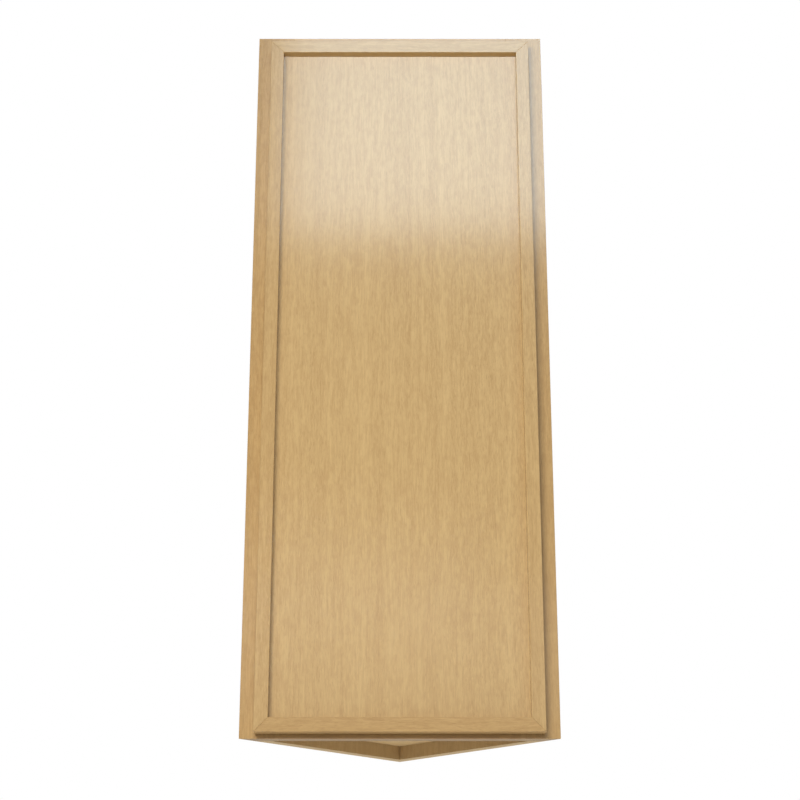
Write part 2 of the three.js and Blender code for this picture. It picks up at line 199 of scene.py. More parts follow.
def board(name, outline, low, high, ease, axes=(X, Y, Z), start=(0, 0, 0), miter=0, round_span=0):
    """An eased board: an outline in the first two axes, carried from low to high along the third.

    World point = start + a * axis 0 + b * axis 1 + c * axis 2, with a, b and c from the grown
    prism. With miter 1, c moves inwards by a at both ends, which cuts them at 45 degrees. Faces
    narrower than the ease or the round span are shaded smoothly.
    """
    grid = grown_prism(outline, low, high, ease)
    rows, columns = grid.shape[:2]
    inwards = np.where(grid[..., 2] < (low + high) / 2, 1, -1)
    grid[..., 2] += miter * inwards * grid[..., 0]
    quads = grid_quads(rows, columns)
    corners = grid.reshape(-1, 3)[quads]
    spans = np.linalg.norm(np.roll(corners, -1, axis=1) - corners, axis=2)
    smooth = np.concatenate([spans.min(1) < max(0.9 * ease, round_span), [False, False]])
    ends = [np.arange(columns), (rows - 1) * columns + np.arange(columns)]
    faces = quads.tolist() + [end.tolist() for end in ends]
    points = grid.reshape(-1, 3) @ np.array(axes) + np.array(start)
    return new_mesh(name, points, faces, smooth)


def turned(name, profile, start, direction, sides=24):
    """A turned piece: a profile of (radius, height) pairs, from axis to axis, carried round.

    Point(i, a) = start + height(i) * direction + radius(i) * (cos a * u + sin a * v), where u and
    v are square to the direction.
    """
    radius, height = np.array(profile, float).T
    along = np.array(direction, float) / np.linalg.norm(direction)
    u = np.cross(along, X if abs(along[0]) < 0.6 else Z)
    u /= np.linalg.norm(u)
    angles = np.linspace(0, 2 * math.pi, sides, endpoint=False)
    ring = np.cos(angles)[:, None] * u + np.sin(angles)[:, None] * np.cross(along, u)
    points = np.array(start) + height[:, None, None] * along + radius[:, None, None] * ring
    quads = grid_quads(len(profile), sides)
    return new_mesh(name, points, quads.tolist(), [True] * len(quads))


def carve(piece, cutters):
    """Takes the cutters out of the piece, and removes them."""
    with bpy.context.temp_override(active_object=cutters[0], selected_editable_objects=cutters):
        bpy.ops.object.join()
    cut = piece.modifiers.new("cut", "BOOLEAN")
    cut.object = cutters[0]
    cut.solver = "EXACT"
    seen = piece.evaluated_get(bpy.context.evaluated_depsgraph_get())
    mesh = bpy.data.meshes.new_from_object(seen)
    piece.modifiers.clear()
    piece.data = mesh
    bpy.data.objects.remove(cutters[0])
    return piece


def place(piece, body, slot, material, *nodes):
    """Gives the piece its material and its body, and hides the CAD nodes that it stands for."""
    piece.data.materials.clear()
    piece.data.materials.append(material)
    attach(piece, body)
    if nodes:
        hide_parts(*nodes)
    return piece


# %% [markdown]
# ## Where a board lies in its plank
#
# Each wooden piece carries one attribute: how far each of its points is along the grain, across
# it, and through the thickness. The wood material reads that, so the figure runs up a stile,
# along a rail and slantwise along a leg, and the end of a board shows end grain. A UV map could
# steer the figure on the faces, but it would tear at every edge, while three distances make the
# plank solid wood all the way through. Inner plies of plywood are bands of the third distance.
# A second attribute holds how dark the board is, because no two boards come from the same tree;
# on the face frame's bottom rail it is partly painted shade, for the strip of it under the door.

# %% The plank attribute
GRAIN = "plank_place"
TONE = "board_tone"
PLY = 1.75 * MM
plank_random = np.random.default_rng(42)


def lay_in_plank(piece, along, across, through, face, thickness=None):
    """Writes each point's distances along, across and through the plank.

    The third is counted from the point called face, and stretched so that the thickness holds a
    whole number of plies. A random shift gives each board its own stretch of tree.
    """
    points = np.zeros(len(piece.data.vertices) * 3, np.float32)
    piece.data.vertices.foreach_get("co", points)
    where = (points.reshape(-1, 3) - np.array(face)) @ np.array([along, across, through]).T
    if thickness:
        where[:, 2] *= round(thickness / PLY) * PLY / thickness
    where[:, :2] += plank_random.uniform(1, 12, 2)
    attribute = piece.data.attributes.new(GRAIN, "FLOAT_VECTOR", "POINT")
    attribute.data.foreach_set("vector", where.astype(np.float32).ravel())
    return piece


def tone_board(piece, tone):
    """Writes how much darker and redder than its neighbours this board is, from 0 to 1."""
    attribute = piece.data.attributes.new(TONE, "FLOAT", "POINT")
    attribute.data.foreach_set("value", np.full(len(piece.data.vertices), tone, np.float32))


# %% [markdown]
# ## Oak
#
# Oak is recognised by straight lines of growth, by pores that show as short dark dashes in them,
# and by small pale flecks where the rays are cut. Painting them would take a picture, so each is
# a noise that is stretched along the grain: the stretch sets how long the marks are and the
# scale across sets how fine. Under them lies a slow drift of tone within a board, and the board's
# tone multiplies the result; on the face frame's bottom rail that tone is partly painted shade.
# The finish is a satin lacquer, which is a clear coat over the wood. The legs are a paler plywood
# with a thinner coat, as the outside of a carcass often is.


# %% Node helpers
class Nodes:
    """A material's node tree, with short calls to add nodes and join them."""

    def __init__(self, name):
        self.material = bpy.data.materials.new(name)
        self.material.use_nodes = True
        self.tree = self.material.node_tree
        self.tree.nodes.clear()
        self.shader = self.add("ShaderNodeBsdfPrincipled")
        output = self.add("ShaderNodeOutputMaterial")
        self.join(self.shader.outputs[0], output.inputs["Surface"])

    def add(self, kind, **settings):
        node = self.tree.nodes.new(kind)
        for key, value in settings.items():
            setattr(node, key, value)
        return node

    def join(self, source, socket):
        self.tree.links.new(source, socket)

    def feed(self, socket, value):
        """Sets a socket, or links it when the value is another node's output."""
        if isinstance(value, bpy.types.NodeSocket):
            self.join(value, socket)
        else:
            socket.default_value = value

    def stretched(self, vector, scale):
        """The coordinates with each axis scaled by its own number."""
        node = self.add("ShaderNodeMapping")
        node.inputs["Scale"].default_value = scale
        self.join(vector, node.inputs["Vector"])
        return node.outputs[0]

    def noise(self, vector, scale, detail=2.0, roughness=0.5, coloured=False):
        """Noise from 0 to 1 whose marks are about 1 / scale long on each axis.

        Coloured noise has a value of its own in each of its three channels.
        """
        node = self.add("ShaderNodeTexNoise")
        self.join(self.stretched(vector, scale), node.inputs["Vector"])
        node.inputs["Scale"].default_value = 1.0
        node.inputs["Detail"].default_value = detail
        node.inputs["Roughness"].default_value = roughness
        return node.outputs[1 if coloured else 0]

    def steps(self, value, low, high, out_low=0.0, out_high=1.0):
        """A value from low to high remapped smoothly, and held level outside them."""
        node = self.add("ShaderNodeMapRange", interpolation_type="SMOOTHSTEP")
        settings = {"Value": value, "From Min": low, "From Max": high}
        settings |= {"To Min": out_low, "To Max": out_high}
        for key, item in settings.items():
            self.feed(node.inputs[key], item)
        return node.outputs[0]

    def maths(self, operation, first, second=0.0):
        """One sum on one or two values."""
        node = self.add("ShaderNodeMath", operation=operation)
        self.feed(node.inputs[0], first)
        self.feed(node.inputs[1], second)
        return node.outputs[0]

    def blend(self, share, first, second, mode="MIX"):
        """Two colours mixed by a share from 0 to 1."""
        node = self.add("ShaderNodeMix", data_type="RGBA", blend_type=mode)
        self.feed(node.inputs[0], share)
        self.feed(node.inputs[6], first)
        self.feed(node.inputs[7], second)
        return node.outputs[2]

    def bump(self, height, strength, distance):
        """Relief from a height of 0 to 1, up to the given distance in metres."""
        node = self.add("ShaderNodeBump")
        node.inputs["Strength"].default_value = strength
        node.inputs["Distance"].default_value = distance
        self.join(height, node.inputs["Height"])
        self.join(node.outputs[0], self.shader.inputs["Normal"])

    def set(self, **values):
        """Sets the shader's own sockets; an underscore in a name stands for a space."""
        for key, value in values.items():
            self.feed(self.shader.inputs[key.replace("_", " ")], value)


def rgb(red, green, blue):
    """A colour given as it looks on a screen, 0 to 255, as linear light."""
    screen = np.array([red, green, blue]) / 255
    linear = np.where(screen > 0.04045, ((screen + 0.055) / 1.055) ** 2.4, screen / 12.92)
    return (*linear.tolist(), 1.0)


# %% What the figure is made of
# Each mark has how many of it fit in a metre along the grain, across it and through the plank,
# then how many finer sizes are mixed in and how strongly.
MARKS = {
    "growth": ((0.9, 75, 75), 5, 0.6),
    "streak": ((22, 300, 300), 4, 0.66),
    "curl": ((70, 170, 170), 3, 0.6),
    "fibre": ((38, 1300, 1300), 3, 0.6),
    "fleck": ((75, 420, 420), 1, 0.5),
    "pores": ((110, 3000, 3000), 1, 0.5),
}
WANDER_MARKS, WANDER_DETAIL = (3.0, 8, 8), 3.0
WANDER = (0, 16 * MM, 16 * MM)
DRIFT_MARKS = (0.7, 2.2, 2.2)
DEEPER = (0.78, 0.68, 0.55, 1.0)


def figure(n, plank, light, dark, pore, contrast):
    """The wood's colour, with the marks that also show in its surface."""
    # The lines of growth wander a few millimetres sideways.
    sideways = n.add("ShaderNodeVectorMath", operation="MULTIPLY_ADD")
    n.join(n.noise(plank, WANDER_MARKS, WANDER_DETAIL, coloured=True), sideways.inputs[0])
    sideways.inputs[1].default_value = WANDER
    n.join(plank, sideways.inputs[2])
    marks = {name: n.noise(sideways.outputs[0], *settings) for name, settings in MARKS.items()}

    # Every layer begins to show at its first value and is full at its second.
    growth = marks["growth"]
    colour = n.blend(n.steps(growth, 0.30, 0.70, 0.0, 0.35 * contrast), light, dark)
    colour = n.blend(n.steps(marks["streak"], 0.40, 0.66, 0.0, 0.50 * contrast), colour, dark)
    colour = n.blend(n.steps(marks["curl"], 0.44, 0.62, 0.0, 0.35 * contrast), colour, dark)
    colour = n.blend(n.steps(marks["fleck"], 0.58, 0.70, 0.0, 0.55 * contrast), colour, light)
    fibre_share = n.maths("MULTIPLY", n.steps(marks["fibre"], 0.42, 0.72), 0.22 * contrast)
    colour = n.blend(fibre_share, colour, pore)
    in_growth = n.steps(growth, 0.36, 0.60, 0.35, 1.0)
    pore_share = n.maths("MULTIPLY", n.steps(marks["pores"], 0.56, 0.68), in_growth)
    colour = n.blend(n.maths("MULTIPLY", pore_share, 0.45 * contrast), colour, pore)

    drift = n.noise(plank, DRIFT_MARKS)
    colour = n.blend(n.steps(drift, 0.25, 0.75, 0.0, 0.30), colour, dark)
    board_tone = n.add("ShaderNodeAttribute", attribute_name=TONE).outputs["Fac"]
    colour = n.blend(board_tone, colour, DEEPER, "MULTIPLY")
    return colour, marks["streak"], marks["fibre"], pore_share


# %% [markdown]
# ## Plies
#
# Plywood is thin layers glued up with the grain crossing from one to the next. They could be
# modelled as sheets, but nobody sees more of them than their edges. Counting the depth in plies
# gives both things that show there: every other ply a little darker, and a thin line of glue.


# %% Plies
def plied(n, plank, colour, dark, pore):
    """The colour with the plies that its depth passes through."""
    parts = n.add("ShaderNodeSeparateXYZ")
    n.join(plank, parts.inputs[0])
    # Sanding leaves the face ply half as thick as the others.
    count = n.maths("ADD", n.maths("DIVIDE", parts.outputs[2], PLY), 0.5)
    odd = n.maths("MODULO", n.maths("FLOOR", count), 2.0)
    off_centre = n.maths("ABSOLUTE", n.maths("SUBTRACT", n.maths("FRACT", count), 0.5))
    glue = n.steps(off_centre, 0.44, 0.5)
    colour = n.blend(odd, colour, n.blend(0.35, colour, dark))
    return n.blend(n.maths("MULTIPLY", glue, 0.5), colour, pore)


# %% Oak and birch
def wood(name, light, dark, pore, plies=False, contrast=1.0, lacquer=1.0):
    """A lacquered wood that reads the plank attribute."""
    n = Nodes(name)
    plank = n.add("ShaderNodeAttribute", attribute_name=GRAIN).outputs["Vector"]
    colour, streak, fibre, pore_share = figure(n, plank, light, dark, pore, contrast)
    if plies:
        colour = plied(n, plank, colour, dark, pore)
    n.set(Base_Color=colour, Roughness=n.steps(streak, 0.3, 0.7, 0.42, 0.54))
    n.set(Coat_Weight=lacquer, Coat_Roughness=0.13, Coat_IOR=1.6, Specular_IOR_Level=0.2)
    relief = n.maths("ADD", n.maths("MULTIPLY", fibre, 0.3), n.maths("MULTIPLY", pore_share, -1.0))
    n.bump(relief, 0.35, 0.08 * MM)
    return n.material


OAK_LIGHT = rgb(215, 182, 125)
OAK_DARK = rgb(189, 153, 100)
OAK_PORE = rgb(150, 115, 68)
oak = wood("oak", OAK_LIGHT, OAK_DARK, OAK_PORE)
oak_ply = wood("oak_plywood", OAK_LIGHT, OAK_DARK, OAK_PORE, plies=True)
CARCASS = (rgb(214, 188, 140), rgb(188, 158, 112), rgb(150, 118, 80))
carcass_ply = wood("carcass_plywood", *CARCASS, plies=True, lacquer=0.3)
BIRCH = (rgb(226, 200, 160), rgb(204, 172, 128), rgb(160, 122, 82))
birch = wood("birch", *BIRCH, contrast=0.5)
birch_ply = wood("birch_plywood", *BIRCH, plies=True, contrast=0.5)
print("woods:", [made.name for made in (oak, oak_ply, carcass_ply, birch, birch_ply)])

# %% [markdown]
# ## Metals
#
# The hinges are nickel-plated, the bosses are cast zinc and the screws are plated steel.
# A plain grey would read as plastic, so each metal has its own fine surface: drawn lines on the
# sheet, a faint cast mottle on the zinc.


# %% Metals
def metal(name, colour, shade, rough_low, rough_high, scale, relief):
    """Metal with a mottle of the given scale in its roughness, colour and relief."""
    n = Nodes(name)
    where = n.add("ShaderNodeTexCoord").outputs["Object"]
    mottle = n.noise(where, scale, 3, 0.6)
    n.set(Base_Color=n.blend(mottle, colour, shade), Metallic=1.0)
    n.set(Roughness=n.steps(mottle, 0.3, 0.7, rough_low, rough_high))
    n.bump(mottle, relief, 0.02 * MM)
    return n.material


DRAWN, CAST, FINE = (400, 400, 5000), (1800, 1800, 1800), (3000, 3000, 3000)
nickel = metal("nickel", rgb(208, 204, 196), rgb(178, 174, 166), 0.24, 0.36, DRAWN, 0.12)
zinc = metal("cast_zinc", rgb(196, 194, 188), rgb(168, 166, 160), 0.38, 0.5, CAST, 0.3)
screw_steel = metal("plated_screw", rgb(206, 206, 204), rgb(176, 178, 180), 0.22, 0.34, FINE, 0.1)
print("metals:", nickel.name, zinc.name, screw_steel.name)

# %% [markdown]
# ## Bumper rubber
#
# The door's bumpers are clear soft plastic. Full glass would look hard, so about half of the
# light goes through and the rest is scattered, with a faint cloudiness over both.


# %% Bumper rubber
def clear_rubber():
    """Soft clear plastic, slightly cloudy, with a faint skin texture."""
    n = Nodes("clear_rubber")
    where = n.add("ShaderNodeTexCoord").outputs["Object"]
    cloud = n.noise(where, (900, 900, 900), 2)
    n.set(Base_Color=n.blend(cloud, rgb(226, 228, 224), rgb(204, 207, 204)))
    n.set(Roughness=n.steps(cloud, 0.3, 0.7, 0.25, 0.4), Transmission_Weight=0.45, IOR=1.49)
    n.bump(cloud, 0.1, 0.02 * MM)
    return n.material


bumper_rubber = clear_rubber()
print("rubber:", bumper_rubber.name)

# %% [markdown]
# ## The two legs
#
# Each leg is one panel of plywood with its front end mitred to lie flat on the face frame's back.
# The left one runs through to the corner and the right one butts against it. Both are grooved for
# the top and bottom panels, and drilled with two columns of holes, 32 mm apart, for the shelf
# pins. The holes are real: a turned cutter with a flared mouth is taken out of the board.

# %% The legs
LEG = FACE_HALF * ROOT2
FRAME_T = FRAME_BACK_Y - FRONT_Y
LEG_FRONT = LEG - (FRAME_T + JOINT_GAP) * ROOT2
PANEL_EASE = 0.3 * MM
CUTTER_EASE = 0.01 * MM
HOLE_SIDES = 20
DADO = 6.35 * MM
HOLE_PITCH = 32 * MM
HOLE_R, HOLE_DEPTH, HOLE_FLARE = 2.55 * MM, 10 * MM, 0.3 * MM
ROWS_BEYOND = 2
OVERCUT = 1 * MM
COLUMNS = ("back", "front")


def leg_point(side, along, inward):
    """Plan position: along a leg from the back corner, and inward from its outer face."""
    return np.array([side * (along - inward), -(along + inward)]) / ROOT2


def leg_axes(side):
    """The leg's direction away from the back corner, and its inward direction."""
    return np.array([side, -1, 0]) / ROOT2, np.array([-side, -1, 0]) / ROOT2


def pin_centre(shelf, side_name, column):
    """The middle of a shelf pin's box, which is a point on its axis."""
    return np.mean(box(f"{shelf}_shelf_pin_{side_name}_{column}"), axis=0)


def hole_heights():
    """Every hole row: from two rows below the lowest shelf's pins to two above the highest's."""
    low, high = (pin_centre(shelf, "left", "back")[2] for shelf in ("lower", "upper"))
    count = round((high - low) / HOLE_PITCH) + 2 * ROWS_BEYOND + 1
    return low + HOLE_PITCH * (np.arange(count) - ROWS_BEYOND)


def cap_outline(inset):
    """The triangle between the frame's back and two lines set in from the legs' outer faces."""
    half = -FRAME_BACK_Y - inset * ROOT2
    return [(-half, FRAME_BACK_Y), (half, FRAME_BACK_Y), (0, FRAME_BACK_Y + half)]


def leg_panel(side_name, side):
    along, inward = leg_axes(side)
    back = 0 if side < 0 else SIDE_T + JOINT_GAP
    plan = [
        leg_point(side, back, 0),
        leg_point(side, LEG_FRONT, 0),
        leg_point(side, LEG_FRONT - SIDE_T, SIDE_T),
        leg_point(side, back, SIDE_T),
    ]
    panel = board(f"{side_name}_leg", plan, 0, HEIGHT, PANEL_EASE)

    cutters = []
    for cap in ("bottom_panel", "top_panel"):
        low, high = box(cap)
        cutters.append(board("dado", cap_outline(SIDE_T - DADO), low[2], high[2], CUTTER_EASE))
    mouth_r = HOLE_R + HOLE_FLARE
    bore = [
        (0, HOLE_DEPTH),
        (HOLE_R, HOLE_DEPTH),
        (HOLE_R, HOLE_FLARE),
        (mouth_r, 0),
        (mouth_r, -OVERCUT),
        (0, -OVERCUT),
    ]
    for column in COLUMNS:
        distance = pin_centre("lower", side_name, column) @ along
        for height in hole_heights():
            mouth = distance * along + SIDE_T * inward + height * Z
            cutters.append(turned("hole", bore, mouth, -inward, HOLE_SIDES))
    carve(panel, cutters)
    return lay_in_plank(panel, Z, along, inward, (0, 0, 0), SIDE_T)


for side_name, side in SIDES.items():
    leg = leg_panel(side_name, side)
    place(leg, "carcass", "oak", carcass_ply, f"{side_name}_side_panel")
    print(leg.name, "has", len(leg.data.polygons), "faces and", 2 * len(hole_heights()), "holes")

# %% [markdown]
# ## Top and bottom panels
#
# The two triangles sit in the legs' grooves, a little in from the ends. Only their outline
# matters to the strength, but their undersides and edges show from below, so they are boards of
# plywood with the grain running across the cabinet.

# %% Top and bottom panels
for name in ("bottom_panel", "top_panel"):
    low, high = box(name)
    cap = board(f"{name}_ply", cap_outline(SIDE_T - DADO + JOINT_GAP), low[2], high[2], PANEL_EASE)
    lay_in_plank(cap, X, Y, Z, low, high[2] - low[2])
    place(cap, "carcass", "oak", carcass_ply, name)
    print(cap.name, "is", round((high[0] - low[0]) * 1000, 1), "mm wide at the front")

# %% [markdown]
# ## The face frame
#
# Two stiles and two rails of solid oak frame the opening. Each stile's outer edge is bevelled at
# 45 degrees to run on into its leg. The rails butt between the stiles, and the eased ends leave
# the hairline that shows where two pieces of wood meet.

# %% The face frame
FRAME_EASE = 0.35 * MM
SCREW_PILOT_R = 1.85 * MM


def hinge_box(hinge, part):
    return box(f"{hinge}_hinge_{part}")


def screw_pilot(hinge):
    """The hole in the stile's inner edge for a plate screw."""
    low, high = hinge_box(hinge, "plate_screw")
    middle = (low + high) / 2
    mouth = np.array([-OPENING_HALF + OVERCUT, middle[1], middle[2]])
    depth = mouth[0] - low[0] + OVERCUT
    profile = [(0, 0), (SCREW_PILOT_R, 0), (SCREW_PILOT_R, depth), (0, depth)]
    return turned("pilot", profile, mouth, -X)


# The bottom rail's tone is partly painted shade. Only a thin strip of it shows, under the door and
# in the door's shadow, and its deep, red tone paints that shade darker.
FRAME_TONES_AND_STRIP_SHADE = {"left": 0.55, "right": 0.35, "bottom": 0.7, "top": 0.4}


def frame_stile(side_name, side):
    plan = [
        (side * OPENING_HALF, FRONT_Y),
        (side * FACE_HALF, FRONT_Y),
        (side * (FACE_HALF - FRAME_T), FRAME_BACK_Y),
        (side * OPENING_HALF, FRAME_BACK_Y),
    ]
    stile = board(f"{side_name}_frame_stile", plan, 0, HEIGHT, FRAME_EASE)
    if side < 0:
        carve(stile, [screw_pilot(hinge) for hinge in HINGES])
    lay_in_plank(stile, Z, X, Y, (0, FRONT_Y, 0))
    tone_board(stile, FRAME_TONES_AND_STRIP_SHADE[side_name])
    return place(stile, "carcass", "oak", oak, f"frame_{side_name}_stile")


def frame_rail(end):
    low, high = box(f"frame_{end}_rail")
    section = [(low[1], low[2]), (high[1], low[2]), (high[1], high[2]), (low[1], high[2])]
    rail = board(f"{end}_frame_rail", section, low[0], high[0], FRAME_EASE, (Y, Z, X))
    lay_in_plank(rail, X, Z, Y, (0, FRONT_Y, 0))
    tone_board(rail, FRAME_TONES_AND_STRIP_SHADE[end])
    return place(rail, "carcass", "oak", oak, f"frame_{end}_rail")


frame_pieces = [frame_stile(name, side) for name, side in SIDES.items()]
frame_pieces += [frame_rail(end) for end in ("bottom", "top")]
print("face frame:", [piece.name for piece in frame_pieces])

# %% [markdown]
# ## Hanging rails
#
# The screws that hold the cabinet go through a rail under the top panel and another on the bottom
# panel, along each leg. They are plain birch strips, so their plies show on the sawn edges.

# %% Hanging rails
HANG_T = 12.7 * MM


def hanging_rail(level, side_name, side):
    node = f"{level}_hanging_rail_{side_name}"
    low, high = box(node)
    inner = SIDE_T + JOINT_GAP
    back = inner if side < 0 else inner + HANG_T + JOINT_GAP
    plan = [
        leg_point(side, back, inner),
        leg_point(side, LEG_FRONT - inner, inner),
        leg_point(side, LEG_FRONT - inner - HANG_T, inner + HANG_T),
        leg_point(side, back, inner + HANG_T),
    ]
    along, inward = leg_axes(side)
    rail = board(f"{level}_{side_name}_hanger", plan, low[2], high[2], PANEL_EASE)
    lay_in_plank(rail, along, Z, inward, inner * inward, HANG_T)
    return place(rail, "carcass", "birch", birch_ply, node)


for level in ("lower", "upper"):
    for side_name, side in SIDES.items():
        print("made", hanging_rail(level, side_name, side).name)

# %% [markdown]
# ## The door
#
# The door is a narrow frame, mitred at the corners like a picture frame, with a thin panel let
# into a rabbet from behind. A member is one L-shaped section carried along its length, and its
# ends are cut at 45 degrees by moving each point inwards by its distance from the outer edge. So
# the grain of each member runs along it, and the mitre is where two directions of grain meet.

# %% The door's frame
panel_low, panel_high = box("door_panel")
PANEL_T = panel_high[1] - panel_low[1]
RABBET_W = 4.6 * MM
DOOR_EASE = 0.45 * MM
BOSS_CLEARANCE = 0.1 * MM
BOSS_PILOT_R, PILOT_SIDES = 1.25 * MM, 16

DOOR_SECTION = [
    (0, DOOR_FRONT_Y),
    (MEMBER_W, DOOR_FRONT_Y),
    (MEMBER_W, DOOR_BACK_Y - PANEL_T),
    (MEMBER_W - RABBET_W, DOOR_BACK_Y - PANEL_T),
    (MEMBER_W - RABBET_W, DOOR_BACK_Y),
    (0, DOOR_BACK_Y),
]


def door_member(name, inwards, along, low, high):
    """One member: the section's first axis points inwards from the door's outer edge."""
    level = DOOR_BOTTOM if inwards[2] > 0 else DOOR_TOP
    edge = -inwards * DOOR_HALF if inwards[0] else level * Z
    member = board(name, DOOR_SECTION, low, high, DOOR_EASE, (inwards, Y, along), edge, miter=1)
    return member, edge


def boss_mortise(hinge):
    """The pocket in the door's stile for a hinge boss, with its two screw pilots."""
    low, high = hinge_box(hinge, "boss")
    left, floor_y, bottom = low - BOSS_CLEARANCE
    right, top = high[0] + BOSS_CLEARANCE, high[2] + BOSS_CLEARANCE
    over_y = high[1] + OVERCUT
    plan = [(left, floor_y), (right, floor_y), (right, over_y), (left, over_y)]
    pocket = board("pocket", plan, bottom, top, CUTTER_EASE)
    pilots = []
    for end in ("lower", "upper"):
        screw_low, screw_high = hinge_box(hinge, f"boss_screw_{end}")
        middle = (screw_low + screw_high) / 2
        mouth = np.array([middle[0], low[1] + OVERCUT, middle[2]])
        depth = mouth[1] - screw_low[1] + OVERCUT / 2
        profile = [(0, 0), (BOSS_PILOT_R, 0), (BOSS_PILOT_R, depth), (0, depth)]
        pilots.append(turned("pilot", profile, mouth, -Y, PILOT_SIDES))
    return [pocket] + pilots


DOOR_TONES = {"left_stile": 0.25, "right_stile": 0.15, "bottom_rail": 0.5, "top_rail": 0.0}
DOOR_MEMBERS = {
    "left_stile": (X, Z, DOOR_BOTTOM, DOOR_TOP),
    "right_stile": (-X, Z, DOOR_BOTTOM, DOOR_TOP),
    "bottom_rail": (Z, X, -DOOR_HALF, DOOR_HALF),
    "top_rail": (-Z, X, -DOOR_HALF, DOOR_HALF),
}
for name, (inwards, along, low, high) in DOOR_MEMBERS.items():
    member, edge = door_member(f"{name}_of_door", inwards, along, low, high)
    if name == "left_stile":
        carve(member, [cutter for hinge in HINGES for cutter in boss_mortise(hinge)])
    lay_in_plank(member, along, inwards, Y, edge)
    tone_board(member, DOOR_TONES[name])
    place(member, "door", "oak", oak, f"door_{name}")
    print(member.name, "is", round((high - low) * 1000, 1), "mm long")

# %% [markdown]
# ## The door's panel
#
# The panel is one sheet of oak veneer on a thin core. Being flat and wide it shows the veneer's
# figure best, so its plank coordinates start at its own face and the grain runs up the door.

# %% The door's panel
PANEL_EASE_THIN = 0.15 * MM
panel_plan = [
    (panel_low[0], panel_low[1]),
    (panel_high[0], panel_low[1]),
    (panel_high[0], panel_high[1]),
    (panel_low[0], panel_high[1]),
]
door_sheet = board("panel_of_door", panel_plan, panel_low[2], panel_high[2], PANEL_EASE_THIN)
lay_in_plank(door_sheet, Z, X, Y, (0, panel_low[1], 0), PANEL_T)
place(door_sheet, "door", "oak", oak_ply, "door_panel")
print("door panel", np.round((panel_high - panel_low) * 1000, 1), "mm")

# %% [markdown]
# ## Shelves
#
# Each shelf is a triangle with its corners cut off, so that it can be turned in through the
# opening. It rests loose on four pins. The front edge is covered by a strip of birch, glued on,
# because raw plies would splinter there.

# %% Shelves
BAND_T = 0.9 * MM
SHELF_EASE = 0.4 * MM
PLY_EASE = 0.1 * MM
TIP_HALF = 9 * MM


def shelf_pieces(shelf):
    low, high = box(f"{shelf}_shelf")
    half, front, tip_y = high[0], low[1], high[1]
    side_y = tip_y - (half - TIP_HALF)
    ply_front = front + BAND_T
    plan = [
        (-half, ply_front),
        (half, ply_front),
        (half, side_y),
        (TIP_HALF, tip_y),
        (-TIP_HALF, tip_y),
        (-half, side_y),
    ]
    ply = board(f"{shelf}_shelf_ply", plan, low[2], high[2], PLY_EASE)
    lay_in_plank(ply, X, Y, Z, low, high[2] - low[2])
    place(ply, f"{shelf}_shelf", "birch", birch_ply, f"{shelf}_shelf")

    strip = [(front, low[2]), (ply_front, low[2]), (ply_front, high[2]), (front, high[2])]
    band = board(f"{shelf}_shelf_band", strip, -half, half, SHELF_EASE, (Y, Z, X))
    lay_in_plank(band, X, Z, Y, (0, front, 0))
    place(band, f"{shelf}_shelf", "birch", birch)
    return ply, band


for shelf in SHELVES:
    ply, band = shelf_pieces(shelf)
    print(ply.name, "with its front band", band.name)

# %% [markdown]
# ## Shelf pins
#
# A pin is a short rod with a collar that stops it at the leg's face. It is the simplest turned
# piece: a profile of radius against distance, carried once round the axis. The ends are rounded
# because a real pin is tumbled smooth, and the collar has a small fillet.

# %% Shelf pins
PIN_R, COLLAR_R, COLLAR_T = 2.5 * MM, 4 * MM, 1.2 * MM
PIN_IN, PIN_OUT = 9 * MM, 8.5 * MM
PIN_TAIL_EASE, PIN_NOSE_EASE = 0.5 * MM, 0.8 * MM
COLLAR_BACK_EASE, COLLAR_EASE = 0.2 * MM, 0.35 * MM


def rounded_end(radius, height, ease, away, steps=4):
    """Profile points over a rounded end: away is 1 at the far end and -1 at the near one."""
    angles = np.linspace(0, math.pi / 2, steps + 1)
    core = radius - ease
    points = [
        (core + ease * math.cos(a), height - away * ease * (1 - math.sin(a))) for a in angles
    ]
    return points if away > 0 else points[::-1]


pin_flange = PIN_IN + JOINT_GAP
PIN_PROFILE = [
    (0, 0),
    *rounded_end(PIN_R, 0, PIN_TAIL_EASE, -1),
    (PIN_R, pin_flange),
    *rounded_end(COLLAR_R, pin_flange, COLLAR_BACK_EASE, -1),
    *rounded_end(COLLAR_R, pin_flange + COLLAR_T, COLLAR_EASE, 1),
    (PIN_R, pin_flange + COLLAR_T),
    *rounded_end(PIN_R, pin_flange + PIN_OUT, PIN_NOSE_EASE, 1),
    (0, pin_flange + PIN_OUT),
]


def shelf_pin(shelf, side_name, side, column):
    along, inward = leg_axes(side)
    centre = pin_centre(shelf, side_name, column)
    start = (centre @ along) * along + (SIDE_T - PIN_IN) * inward + centre[2] * Z
    pin = turned(f"{shelf}_{side_name}_{column}_pin", PIN_PROFILE, start, inward)
    return place(pin, "carcass", "nickel", nickel, f"{shelf}_shelf_pin_{side_name}_{column}")


pins = [
    shelf_pin(shelf, side_name, side, column)
    for shelf in SHELVES
    for side_name, side in SIDES.items()
    for column in COLUMNS
]
print(len(pins), "shelf pins, each", round(PIN_PROFILE[-1][1] * 1000, 2), "mm long")

# %% [markdown]
# ## Outlines with bends
#
# Sheet metal is bent, never folded sharp, and its corners are rounded. One helper serves both: it
# takes a few corner points and puts an arc at each, so the outline in the code stays as short as
# a maker's sketch.


